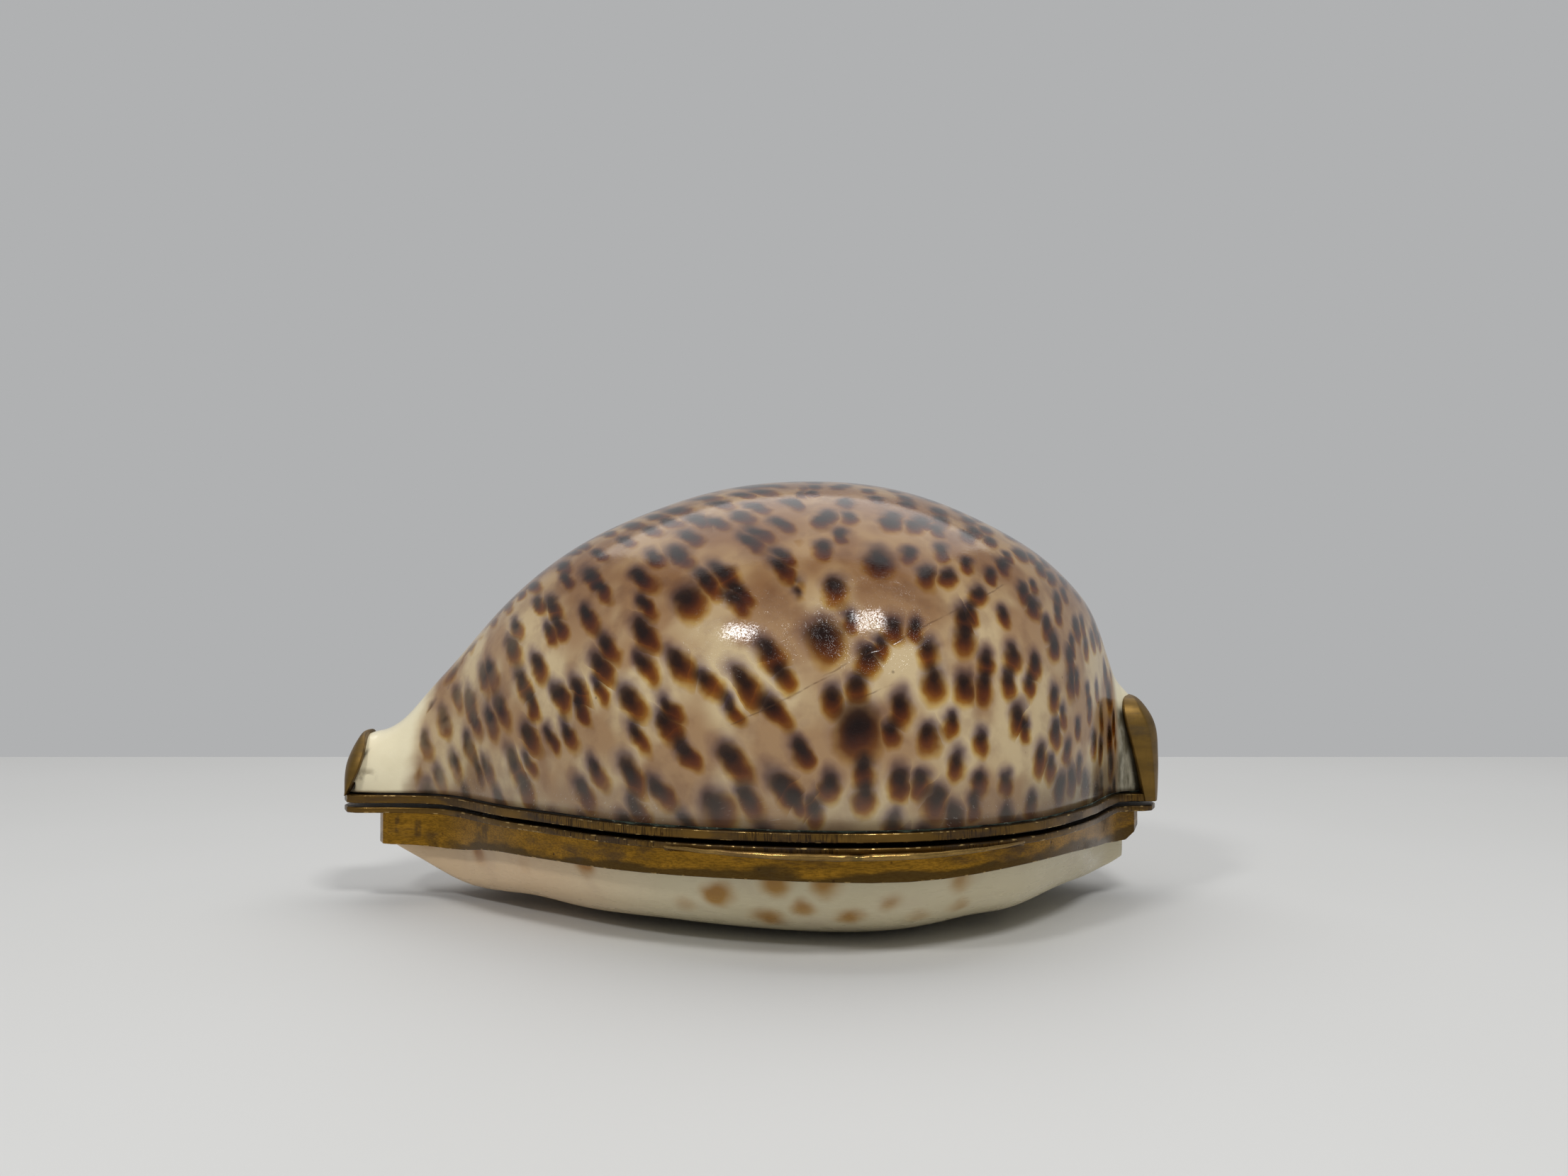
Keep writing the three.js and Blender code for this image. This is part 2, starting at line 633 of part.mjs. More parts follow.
addPiece('dome_shell', domeShell(), spottedShell);
addPiece('dome_cement', domeCement(), cement);
addPiece('cover_plate', coverPlate(), brass);
addPiece('left_end_cap', endCap(leftCap, -1), brass);
addPiece('right_end_cap', endCap(rightCap, 1), brass);
addPiece('cover_hinge_leaf', hingeLeaf(1, coverPlateBottom, coverPlateTop), brass);
addPiece('lid_plate', lidPlate(), brass);
addPiece('lid_bezel', lidBezel(), brass);
addPiece('thumb_lip', thumbLip(), brass);
addPiece('lid_apron', lidApron(), brass);
addPiece('front_base_shell', baseShell(-1), paleShell);
addPiece('rear_base_shell', baseShell(1), paleShell);
addPiece('base_cement', baseCement(), cement);
addPiece('lid_hinge_leaf', hingeLeaf(0, lidPlateBottom, lidPlateTop), brass);
addPiece('hinge_pin', hingePin(), brass);

const model = new THREE.Group();
model.add(box);
export default model;
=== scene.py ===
import json
import math

import bmesh
import bpy
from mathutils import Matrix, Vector, noise

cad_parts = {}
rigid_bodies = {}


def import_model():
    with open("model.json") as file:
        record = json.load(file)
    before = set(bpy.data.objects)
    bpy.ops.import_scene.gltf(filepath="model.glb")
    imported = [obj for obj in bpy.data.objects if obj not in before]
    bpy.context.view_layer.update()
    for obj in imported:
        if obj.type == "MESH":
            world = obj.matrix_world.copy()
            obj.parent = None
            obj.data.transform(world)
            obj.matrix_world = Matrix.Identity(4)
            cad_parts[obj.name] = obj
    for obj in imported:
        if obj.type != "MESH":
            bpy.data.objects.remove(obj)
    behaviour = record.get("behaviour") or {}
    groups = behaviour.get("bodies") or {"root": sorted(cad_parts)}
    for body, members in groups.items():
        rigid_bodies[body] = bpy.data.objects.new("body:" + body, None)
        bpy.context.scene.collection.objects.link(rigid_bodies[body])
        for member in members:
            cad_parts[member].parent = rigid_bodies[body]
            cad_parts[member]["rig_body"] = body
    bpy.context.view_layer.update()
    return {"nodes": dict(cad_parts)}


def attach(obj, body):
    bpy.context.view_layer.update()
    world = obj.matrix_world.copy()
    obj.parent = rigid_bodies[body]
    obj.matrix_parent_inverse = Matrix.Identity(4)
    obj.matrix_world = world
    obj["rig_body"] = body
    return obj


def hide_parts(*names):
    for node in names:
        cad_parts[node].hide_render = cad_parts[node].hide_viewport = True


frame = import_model()

MM = 0.001
WELD = 1e-6

# The photograph's camera, worked out from the backdrop: millimetres in the box's frame, and degrees
CAMERA_PLACE = Vector((3.35, -143.4, 29.15)) * MM
CAMERA_TILT = 1.2
LENS = 31.44
SENSOR = 36.0

# Floor and backdrop
FLOOR_FRONT = -420 * MM
FLOOR_BACK = 142 * MM
FLOOR_SIDE = 600 * MM
# Strength of the even light around the object
AMBIENT = 0.25

# Where the parts of the shell begin, in millimetres
LEFT_BEAK = -34.5
RIGHT_BEAK = 37.6
RIM_LEVEL = 11.35
# The rim is laid this low over its cement, in millimetres
RIM_LOW = 11.2
# Where the shell is narrowed to enter its caps, and where it ends, in millimetres from the middle
LEFT_SHOULDER = 38.6
RIGHT_SHOULDER = 38.1
SHELL_END = 41.3
# Way along the skin from the left end of the shell to the middle, in millimetres
SKIN_START = 52


def srgb(red, green, blue):
    """Linear colour of an 8-bit one."""
    def linear(value):
        value /= 255
        return value / 12.92 if value <= 0.04045 else ((value + 0.055) / 1.055) ** 2.4
    return (linear(red), linear(green), linear(blue), 1.0)


class Finish:
    """A material's node tree. Each method adds a node and returns the output that carries its value."""

    def __init__(self, name, **constants):
        self.material = bpy.data.materials.new(name)
        self.material.use_nodes = True
        tree = self.material.node_tree
        self.nodes = tree.nodes
        self.links = tree.links
        self.shader = self.nodes["Principled BSDF"]
        for socket, value in constants.items():
            self.shader.inputs[socket.replace("_", " ")].default_value = value
        coordinates = self.nodes.new("ShaderNodeTexCoord")
        # Place on the object in millimetres
        self.place = self.vector("MULTIPLY", coordinates.outputs["Object"], (1000, 1000, 1000))

    def put(self, socket, value):
        if isinstance(value, bpy.types.NodeSocket):
            self.links.new(value, socket)
        else:
            socket.default_value = value

    def node(self, kind, inputs, output=0, **settings):
        made = self.nodes.new("ShaderNode" + kind)
        for key, value in settings.items():
            setattr(made, key, value)
        for key, value in inputs.items():
            self.put(made.inputs[key], value)
        return made.outputs[output]

    def vector(self, operation, a, b=(0, 0, 0)):
        output = 1 if operation in ("LENGTH", "DISTANCE", "DOT_PRODUCT") else 0
        return self.node("VectorMath", {0: a, 1: b}, output, operation=operation)

    def math(self, operation, a, b=0.0):
        return self.node("Math", {0: a, 1: b}, operation=operation)

    def axis(self, name, vector=None):
        return self.node("SeparateXYZ", {0: vector or self.place}, name)

    def rise(self, value, low, high, most=1.0):
        """0 below low and most above high, smooth in between. With low above high it falls instead."""
        if low > high:
            return self.node("MapRange", {0: value, 1: high, 2: low, 3: most, 4: 0.0},
                             interpolation_type="SMOOTHSTEP")
        return self.node("MapRange", {0: value, 1: low, 2: high, 3: 0.0, 4: most},
                         interpolation_type="SMOOTHSTEP")

    def off(self, value, level):
        """How far a value is from a level."""
        return self.math("ABSOLUTE", self.math("SUBTRACT", value, level))

    def plus(self, value, other, times):
        """A value plus another one times a number."""
        return self.math("ADD", value, self.math("MULTIPLY", other, times))

    def mix(self, share, a, b):
        return self.node("Mix", {0: share, 6: a, 7: b}, 2, data_type="RGBA")

    def tint(self, share, a, b):
        """Lays colour b over a as a stain, so that it darkens a."""
        return self.node("Mix", {0: share, 6: a, 7: b}, 2, data_type="RGBA", blend_type="MULTIPLY")

    def join(self, operation, values):
        """One value made of several, such as their MINIMUM."""
        result = values[0]
        for value in values[1:]:
            result = self.math(operation, result, value)
        return result

    def product(self, *values):
        return self.join("MULTIPLY", values)

    def less(self, share):
        """What a share leaves of 1."""
        return self.math("SUBTRACT", 1.0, share)

    def ramp(self, value, *stops):
        """Colour that runs through stops, each a value from 0 up and a colour."""
        made = self.nodes.new("ShaderNodeValToRGB")
        span = stops[-1][0]
        elements = made.color_ramp.elements
        for place, _ in stops[1:-1]:
            elements.new(place / span)
        for element, (place, colour) in zip(elements, stops):
            element.position = place / span
            element.color = (*colour, 1)
        self.put(made.inputs["Fac"], self.math("DIVIDE", value, span))
        return made.outputs["Color"]

    def noise(self, size, detail=2.0, vector=None, roughness=0.5):
        """Cloudy value whose patches are about size millimetres across."""
        return self.node("TexNoise", {"Vector": vector or self.place, "Scale": 1 / size, "Detail": detail,
                                      "Roughness": roughness})

    def drift(self, size, reach, start=-0.5):
        """Cloudy shift in patches of about size millimetres, from start times reach to reach more."""
        cloud = self.node("TexNoise", {"Vector": self.place, "Scale": 1 / size, "Detail": 2.0}, "Color")
        return self.vector("MULTIPLY", self.vector("ADD", cloud, (start,) * 3), (reach,) * 3)

    def cells(self, size, vector=None):
        """Distance in millimetres to the nearest of scattered points about size apart."""
        made = self.node("TexVoronoi", {"Vector": vector or self.place, "Scale": 1 / size}, "Distance")
        return self.math("MULTIPLY", made, size)

    def attribute(self, name, output="Fac"):
        return self.node("Attribute", {}, output, attribute_name=name)

    def bump(self, height, strength, distance):
        return self.node("Bump", {"Strength": strength, "Distance": distance * MM, "Height": height})

    def finish(self, colour, roughness, bump=None, metallic=None):
        self.put(self.shader.inputs["Base Color"], colour)
        self.put(self.shader.inputs["Roughness"], roughness)
        if bump is not None:
            self.put(self.shader.inputs["Normal"], bump)
        if metallic is not None:
            self.put(self.shader.inputs["Metallic"], metallic)
        return self.material


# Materials

# The scattered spots: spacing and radius in millimetres, the least and greatest share of that radius, and
# how far they stand out of line
SPOT_SPACING = 2.85
SPOT_SIZE = 0.85
SPOT_RANGE = (0.75, 1.25)
SPOT_DISORDER = 0.85
SPOT_STRETCH = 1.2
LEFT_SPOT_STRETCH = 1.6
LEFT_SPOT_TURN = math.radians(-52)
# Sidewise shifts of the left and the rear pattern, so that none repeats another, in millimetres
LEFT_PATTERN = 140
REAR_PATTERN = 300
# Added to a spot's distance over its radius where there is to be no spot
NO_SPOT = 3
# Where one pattern gives way to the next: shares at which its spots begin to go and have gone
SPOT_FADE = (0.35, 0.95, NO_SPOT)
# Difference between the ways to the two rims at which the crest's own spots begin and reach their greatest
# share, that share, and how much larger they are
CREST_EDGE = (24, 14)
CREST_MOST = 0.8
CREST_SPOT_GAIN = 1.3
# How far the dark heart and the amber margin of a spot lie up its trail, in millimetres
SHADE_SHIFT = 0.55
AMBER_SHIFT = -0.5
# The largest spots of the front: way along the shell from its middle, way up from the front rim and radius
# in millimetres. Each is a little longer up its trail than across, and has a ring around it, also in
# millimetres, that is clear of scattered spots.
STRIKING_SQUEEZE = 0.87
CLEAR_RING = 0.9
STRIKING_SPOTS = [
    (9.6, 8.4, 1.8),
    (6.9, 16.2, 1.5),
    (11.8, 24.4, 1.35),
    (-5.1, 19.9, 1.3),
    (-2.3, 1.6, 1.3),
]
# Where handling has scratched the polish most, which is where the front lamps mirror: place and radius in
# millimetres
LEFT_GLEAM = (-0.2, -25.8, 28.2)
RIGHT_GLEAM = (11, -26.6, 28.8)
WORN_PLACES = [(LEFT_GLEAM, 5), (RIGHT_GLEAM, 6.5)]
# Hairline cracks: start and end along X, level at the start, in millimetres, and slope
CRACKS = [(-3, 8, 18.6, 0.5), (6, 24.5, 23.4, 0.47), (9, 13, 21.6, 0.4)]
# Colours from a spot's middle outwards, by distance over radius: of its amber margin and of its dark heart
AMBER = ((0, (0.26, 0.08, 0.007)), (0.5, (0.32, 0.115, 0.013)), (0.85, (0.5, 0.27, 0.05)),
         (1.15, (0.84, 0.71, 0.4)), (1.5, (1, 1, 1)))
SHADE = ((0, (0.05, 0.035, 0.06)), (0.45, (0.11, 0.085, 0.14)), (0.85, (0.4, 0.36, 0.48)),
         (1.25, (0.78, 0.75, 0.83)), (1.7, (1, 1, 1)))


def turned(x, y, turn, stretch):
    """A point in the turned and stretched coordinates of a pattern."""
    across = x * math.cos(turn) + y * math.sin(turn)
    up = y * math.cos(turn) - x * math.sin(turn)
    return (across / stretch[0], up / stretch[1], 0)


def spots(t, wobble, shift):
    """Distance to the nearest spot over its radius, with the pattern moved by shift up its trail."""
    skin = t.attribute("skin", "Vector")
    along, front, back = (t.axis(name, skin) for name in "XYZ")
    behind = t.rise(t.math("SUBTRACT", front, back), -4, 4)
    left = t.rise(t.plus(along, t.noise(7), 6), 12, 4)
    crest = t.rise(t.plus(t.off(front, back), t.noise(3), 16), *CREST_EDGE, CREST_MOST)
    ahead = t.math("MAXIMUM", behind, crest)
    # Trails run straight down on the right and lean to the right on the left
    lean = t.math("SUBTRACT", t.rise(along, 11, 3, 0.75), t.rise(along, -30, -42, 0.45))
    straight = (0, -shift, 0)
    slanted = t.node("CombineXYZ", {"X": t.math("MULTIPLY", lean, shift), "Y": -shift})
    distances = []
    place = t.vector("ADD", t.node("CombineXYZ", {"X": along, "Y": front}), wobble)
    place = t.vector("ADD", place, slanted)
    for x, y, radius in STRIKING_SPOTS:
        apart = t.vector("SUBTRACT", place, (x, y, 0))
        apart = t.vector("MULTIPLY", apart, (1 / radius, STRIKING_SQUEEZE / radius, 1))
        distances.append(t.vector("LENGTH", apart))
    for up, offset, move, turn, stretch, away in (
        (front, 0, straight, 0, (1, SPOT_STRETCH, 1), t.math("MAXIMUM", ahead, left)),
        (front, LEFT_PATTERN, slanted, LEFT_SPOT_TURN, (LEFT_SPOT_STRETCH, 1, 1),
         t.math("MAXIMUM", ahead, t.less(left))),
        (back, REAR_PATTERN, straight, 0, (1, SPOT_STRETCH, 1), t.math("MAXIMUM", crest, t.less(behind))),
    ):
        flat = t.node("CombineXYZ", {"X": along, "Y": up})
        flat = t.vector("ADD", t.vector("ADD", flat, wobble), move)
        flat = t.vector("ADD", flat, (offset, 0, 0))
        flat = t.node("Mapping", {"Vector": flat, "Rotation": (0, 0, turn), "Scale": stretch},
                      vector_type="TEXTURE")
        scattered = t.node("TexVoronoi",
                           {"Vector": flat, "Scale": 1 / SPOT_SPACING, "Randomness": SPOT_DISORDER},
                           "Distance", voronoi_dimensions="2D")
        share = t.axis("X", scattered.node.outputs["Color"])
        least, most = (SPOT_SIZE * part for part in SPOT_RANGE)
        size = t.node("MapRange", {0: share, 1: 0.0, 2: 1.0, 3: least, 4: most})
        apart = t.math("DIVIDE", t.math("MULTIPLY", scattered, SPOT_SPACING), size)
        apart = t.math("ADD", apart, t.rise(away, *SPOT_FADE))
        if up is front:
            # No scattered spot stands beside one of the largest
            for x, y, radius in STRIKING_SPOTS:
                there = turned(x + offset, y, turn, stretch)
                gap = t.vector("DISTANCE", scattered.node.outputs["Position"], there)
                apart = t.plus(apart, t.math("LESS_THAN", gap, radius + CLEAR_RING), NO_SPOT)
        distances.append(apart)
    # Along the crest the spots are scattered in space, so that the two sides don't meet in a seam
    loose = t.vector("ADD", t.vector("ADD", t.place, wobble), (0, 0, -shift))
    apart = t.math("DIVIDE", t.cells(SPOT_SPACING, loose), SPOT_SIZE * CREST_SPOT_GAIN)
    distances.append(t.math("ADD", apart, t.rise(t.math("SUBTRACT", CREST_MOST, crest), *SPOT_FADE)))
    return t.join("MINIMUM", distances)


def spotted_shell():
    t = Finish("spotted_shell", Specular_IOR_Level=0.27)
    x, y, z = (t.axis(name) for name in "XYZ")
    skin = t.attribute("skin", "Vector")
    wobble = t.drift(2.4, 1.3)

    edge_of_beak = t.plus(x, t.math("SUBTRACT", z, 16), -0.15)
    edge_of_beak = t.plus(edge_of_beak, t.noise(2.5), 1.6)
    left_beak = t.rise(edge_of_beak, LEFT_BEAK + 2, LEFT_BEAK)
    beak = t.math("MAXIMUM", left_beak, t.rise(x, RIGHT_BEAK - 0.5, RIGHT_BEAK + 0.3))
    bare = t.less(beak)
    amber = spots(t, wobble, AMBER_SHIFT)
    shade = spots(t, wobble, SHADE_SHIFT)
    beside = t.product(beak, NO_SPOT)

    # Cream where there is room between the spots, mauve veils elsewhere, and painted shade in grey along the
    # rim, where the shell turns under
    open_ground = t.rise(t.noise(7, 2), 0.4, 0.62)
    ground = t.mix(open_ground, srgb(164, 131, 95), srgb(204, 182, 142))
    ground = t.tint(t.rise(t.noise(2.6, 3), 0.45, 0.7, 0.5), ground, (0.6, 0.52, 0.54, 1))
    # The crown is browner than the sides
    crown = t.rise(t.plus(z, t.noise(6), 6), 29, 37)
    ground = t.tint(t.product(crown, bare), ground, (0.58, 0.46, 0.36, 1))
    colour = t.tint(1.0, ground, t.ramp(t.math("ADD", amber, beside), *AMBER))
    colour = t.tint(1.0, colour, t.ramp(t.math("ADD", shade, beside), *SHADE))
    # Fainter spots on the left
    faded = t.math("MULTIPLY", t.rise(x, -16, -32, 0.3), t.rise(t.noise(3), 0.3, 0.6))
    colour = t.mix(faded, colour, ground)
    rim = t.math("MINIMUM", t.axis("Y", skin), t.axis("Z", skin))
    # Painted shade: the colour greys towards the rim, where the shell turns under
    rim_shade = t.rise(t.plus(rim, t.noise(4), 5), 8, 2.5, 0.3)
    colour = t.mix(rim_shade, colour, srgb(128, 120, 110))
    # Painted shade: darker green-grey low on the right, where the shell tucks in above the rim
    low = t.product(t.rise(x, 20, 32), t.rise(z, 17, 12.5))
    colour = t.tint(t.math("MULTIPLY", low, 0.8), colour, (0.5, 0.54, 0.5, 1))

    # The bare beaks: cream on the left behind a darker border, and a grey-green glaze low on the right
    border = t.product(t.rise(edge_of_beak, LEFT_BEAK + 5, LEFT_BEAK + 2.2), bare)
    colour = t.tint(t.math("MULTIPLY", border, 0.5), colour, (0.55, 0.45, 0.45, 1))
    cream = t.mix(t.noise(3, 3), srgb(242, 232, 200), srgb(224, 213, 178))
    smudge = t.product(t.rise(x, -37.8, -39.2), t.rise(t.off(z, 13), 0.9, 0.3),
                       t.rise(t.noise(0.9, 4), 0.4, 0.6))
    cream = t.mix(t.math("MULTIPLY", smudge, 0.5), cream, srgb(120, 104, 76))
    facets = t.noise(1.1, 3, t.vector("MULTIPLY", t.place, (1.4, 1, 0.45)))
    glaze = t.mix(t.rise(facets, 0.35, 0.65), srgb(104, 98, 80), srgb(166, 160, 140))
    low_right = t.product(t.rise(t.plus(z, t.noise(2), 1.5), 21.4, 19.6), t.math("GREATER_THAN", x, 0.0))
    colour = t.mix(beak, colour, t.mix(low_right, cream, glaze))
    # Painted shadow along the edges of both caps, where the shell meets them
    cap_edge = t.plus(38.3, t.math("SUBTRACT", 19.6, z), 0.213)
    cap_shadow = t.product(t.rise(t.math("SUBTRACT", x, cap_edge), -0.75, -0.2), t.rise(z, 20, 19))
    left_edge = t.plus(-39.4, t.math("SUBTRACT", 15.5, z), -0.5)
    left_cap_shadow = t.product(t.rise(t.math("SUBTRACT", left_edge, x), -0.35, 0.05), t.rise(z, 15.8, 15))
    cap_shadow = t.math("MAXIMUM", cap_shadow, left_cap_shadow)
    colour = t.mix(t.math("MULTIPLY", cap_shadow, 0.85), colour, srgb(48, 42, 30))

    # Hairline cracks across the front
    cracks = []
    front = t.rise(y, 2, -2)
    for start, end, level, slope in CRACKS:
        line = t.plus(level, t.math("SUBTRACT", x, start), slope)
        line = t.plus(line, t.noise(4, 3), 0.9)
        cracks.append(t.product(t.rise(t.off(z, line), 0.12, 0.02), t.rise(x, start, start + 2),
                                t.rise(x, end, end - 2), front))
    crack = t.product(t.join("MAXIMUM", cracks), t.rise(t.noise(1.2), 0.3, 0.6))
    colour = t.mix(t.math("MULTIPLY", crack, 0.45), colour, srgb(70, 42, 24))

    # Long scratches along the rim, pits, and fine scratches that break up the gloss
    long_way = t.vector("MULTIPLY", skin, (0.07, 3.2, 3.2))
    streaks = t.rise(t.noise(1, 3, long_way), 0.63, 0.72)
    streaks = t.product(streaks, t.rise(rim, 3, 1), t.rise(t.noise(9), 0.4, 0.55))
    colour = t.mix(t.math("MULTIPLY", streaks, 0.4), colour, srgb(196, 192, 184))
    pits = t.rise(t.cells(5.5), 0.2, 0.08)
    colour = t.mix(t.math("MULTIPLY", pits, 0.5), colour, srgb(84, 66, 50))
    scratches = t.noise(0.22, 3, t.vector("MULTIPLY", t.place, (0.6, 1, 1.5)))
    curls = t.noise(0.3, 2, t.vector("ADD", t.place, t.drift(1.2, 2.4, 0.0)))
    curls = t.rise(t.off(curls, 0.5), 0.04, 0.0)
    worn = t.join("MAXIMUM", [t.rise(t.vector("DISTANCE", t.place, place), radius, radius * 0.3)
                              for place, radius in WORN_PLACES])
    roughness = t.math("ADD", t.rise(scratches, 0.45, 0.75, 0.09), 0.06)
    roughness = t.plus(roughness, t.rise(rim, 3, 0.5), 0.1)

    # The pale lining
    lining = t.mix(t.noise(6, 3), srgb(224, 214, 206), srgb(198, 186, 190))
    colour = t.mix(t.attribute("inner"), colour, lining)
    height = t.plus(t.math("MULTIPLY", scratches, 0.45), t.noise(0.9), 0.25)
    height = t.math("SUBTRACT", height, t.product(curls, t.plus(0.12, worn, 0.9)))
    height = t.math("SUBTRACT", height, t.math("ADD", pits, crack))
    return t.finish(colour, roughness, t.bump(height, 0.25, 0.05))


# Blurred spots on the front of the underside: place in millimetres, radius and strength
BASE_SPOTS = [
    ((-2.5, -24, 5), 1.4, 0.9),
    ((2, -23, 2.5), 1.7, 0.75),
    ((5, -25, 4), 1.2, 0.7),
    ((9, -24.5, 3), 1.3, 0.7),
    ((12.5, -25.5, 4.5), 1.2, 0.5),
    ((2.5, -25.5, 6.7), 1.5, 0.9),
    ((7, -26, 6.7), 1.5, 0.85),
    ((18.5, -23.5, 6.6), 1.5, 0.6),
    ((18.5, -22, 4), 1.2, 0.5),
    ((-5.5, -22, 3.5), 1.2, 0.3),
    ((15, -23, 3), 1.1, 0.3),
    ((-15, -17.5, 6.6), 1.4, 0.9),
    ((-22, -13, 5.5), 1.2, 0.4),
]


def pale_shell():
    t = Finish("pale_shell", Specular_IOR_Level=0.5)
    x, y, z = (t.axis(name) for name in "XYZ")
    wobble = t.drift(3, 1.6)
    ground = t.mix(t.noise(7, 3), srgb(222, 210, 178), srgb(208, 196, 160))
    ground = t.mix(t.rise(x, -4, -22, 0.85), ground, srgb(224, 192, 152))
    ground = t.tint(t.rise(t.noise(4, 3), 0.5, 0.75, 0.4), ground, (0.78, 0.72, 0.74, 1))
    # Scattered spots along the margin, and those of the front at their own places
    margin = t.math("MAXIMUM", t.rise(t.off(y, 1), 12, 18), t.rise(z, 3.5, 6))
    margin = t.product(margin, t.rise(y, -10, -5))
    scattered = t.cells(5.2, t.vector("ADD", t.place, wobble))
    orange = t.product(t.rise(scattered, 2.2, 0.5, 0.8), margin)
    purple = t.product(t.rise(scattered, 1.2, 0.4, 0.6), margin)
    place = t.vector("ADD", t.place, wobble)
    for (sx, sy, sz), radius, strength in BASE_SPOTS:
        apart = t.vector("DISTANCE", place, (sx, sy, sz))
        orange = t.math("MAXIMUM", orange, t.rise(apart, radius * 1.45, radius * 0.15, strength))
        # The purple heart lies a little higher
        apart = t.vector("DISTANCE", place, (sx, sy, sz + 0.5))
        purple = t.math("MAXIMUM", purple, t.rise(apart, radius * 1.1, radius * 0.1, strength * 0.6))
    orange = t.math("MINIMUM", t.math("MULTIPLY", orange, 1.35), 1.0)
    colour = t.tint(orange, ground, (0.62, 0.37, 0.09, 1))
    colour = t.tint(purple, colour, (0.72, 0.6, 0.62, 1))
    specks = t.rise(t.cells(6.5), 0.22, 0.1, 0.5)
    colour = t.mix(specks, colour, srgb(120, 84, 58))
    seams = t.noise(0.8, 2, t.vector("MULTIPLY", t.place, (0.3, 0.3, 1.5)))
    roughness = t.math("ADD", t.rise(seams, 0.3, 0.8, 0.1), 0.26)
    return t.finish(colour, roughness, t.bump(t.noise(2.5, 3), 0.1, 0.12))


# Level of the joint between the plates, in millimetres
JOINT_LEVEL = 10
# Dark smudges of the apron: place along X, half width and level, in millimetres
APRON_SMUDGES = [(-36.1, 0.35, 8), (-33.9, 0.5, 7.6), (-32.4, 1.1, 6.4), (-26, 1.3, 8.2)]


def brass(name, light, dark, tarnish, marks, brushing=0.0, joint=False, low_band=False, spot=None,
          metal=0.92, gloss=0.3):
    """Worn brass between a light and a dark colour.

    tarnish is how much of it is dark, marks how deep its upright file marks are and brushing that of the
    marks along it. joint darkens it towards the joint between the plates with tarnish and painted shade, and
    paints the edges there black as the shade of the gap. low_band darkens it along its lower edge. spot is a
    place along X with a greenish stain. metal is the metallic share of the clean brass and gloss its
    roughness."""
    t = Finish(name)
    x, z = t.axis("X"), t.axis("Z")
    along = t.vector("MULTIPLY", t.place, (0.3, 0.6, 1.3))
    patches = t.noise(3.2, 6, along, roughness=0.66)
    stain = t.rise(patches, 0.9 - tarnish, 1.12 - tarnish)
    # Painted sheen: lighter streaks along the brass
    painted_sheen = t.rise(t.noise(1.1, 5, along), 0.35, 0.7)
    colour = t.mix(painted_sheen, light, tuple(1.35 * part for part in light[:3]) + (1,))
    colour = t.mix(t.math("MULTIPLY", stain, 0.8), colour, dark)
    if low_band:
        low = t.plus(t.attribute("low"), t.noise(2.2, 5, along), 2.6)
        band = t.product(t.rise(low, 2.4, 1.8), t.rise(x, -34, -27))
        colour = t.mix(t.math("MULTIPLY", band, 0.85), colour, srgb(66, 52, 28))
        for place, width, level in APRON_SMUDGES:
            smudge = t.product(t.rise(t.off(x, place), width, width * 0.3),
                               t.rise(t.off(z, level), 1.3, 0.5), t.rise(t.noise(0.8, 3), 0.35, 0.55))
            colour = t.mix(t.math("MULTIPLY", smudge, 0.6), colour, srgb(56, 46, 36))
    specks = t.rise(t.cells(1.7), 0.2, 0.08, 0.8)
    specks = t.product(specks, t.rise(t.noise(3), 0.45, 0.55))
    colour = t.mix(specks, colour, srgb(46, 26, 14))
    files = t.noise(0.13, 2, t.vector("MULTIPLY", t.place, (1, 1, 0.08)))
    filed = t.rise(t.noise(9, 2), 0.35, 0.55, marks)
    colour = t.mix(t.product(t.rise(files, 0.55, 0.35), filed), colour, dark)
    brushed = t.noise(0.11, 4, t.vector("MULTIPLY", t.place, (0.16, 0.5, 1)), roughness=0.7)
    colour = t.mix(t.product(t.rise(brushed, 0.58, 0.4), brushing), colour, dark)
    if joint:
        from_joint = t.math("ADD", t.off(z, JOINT_LEVEL), t.rise(x, -12, -26, 0.12))
        near = t.rise(from_joint, 0.36, 0.2)
        # The faces that meet there get tarnish and painted shade, and the edges along the joint are painted
        # black as the shade of the gap
        flat = t.rise(t.math("ABSOLUTE", t.axis("Z", t.node("TexCoord", {}, "Normal"))), 0.5, 0.9)
        colour = t.mix(t.product(near, flat, 0.45), colour, srgb(60, 43, 22))
        colour = t.mix(t.product(near, t.less(flat)), colour, srgb(14, 10, 6))
    if spot is not None:
        green = t.rise(t.off(x, spot), 0.6, 0.25)
        colour = t.mix(t.math("MULTIPLY", green, 0.6), colour, srgb(84, 74, 44))
    # Edges: lighter worn brass, partly painted glints
    edge = t.product(t.attribute("edge"), t.rise(t.noise(0.7, 4), 0.54, 0.66))
    colour = t.mix(t.math("MULTIPLY", edge, 0.6), colour, srgb(214, 180, 116))
    roughness = t.plus(gloss, stain, 0.2)
    roughness = t.math("SUBTRACT", roughness, t.math("MULTIPLY", edge, 0.08))
    height = t.plus(t.product(files, filed), t.noise(1.5, 4), 0.8)
    height = t.math("ADD", height, t.product(brushed, brushing))
    height = t.math("SUBTRACT", height, specks)
    metallic = t.math("SUBTRACT", metal, t.math("MULTIPLY", stain, 0.35))
    return t.finish(colour, roughness, t.bump(height, 0.3, 0.08), metallic)


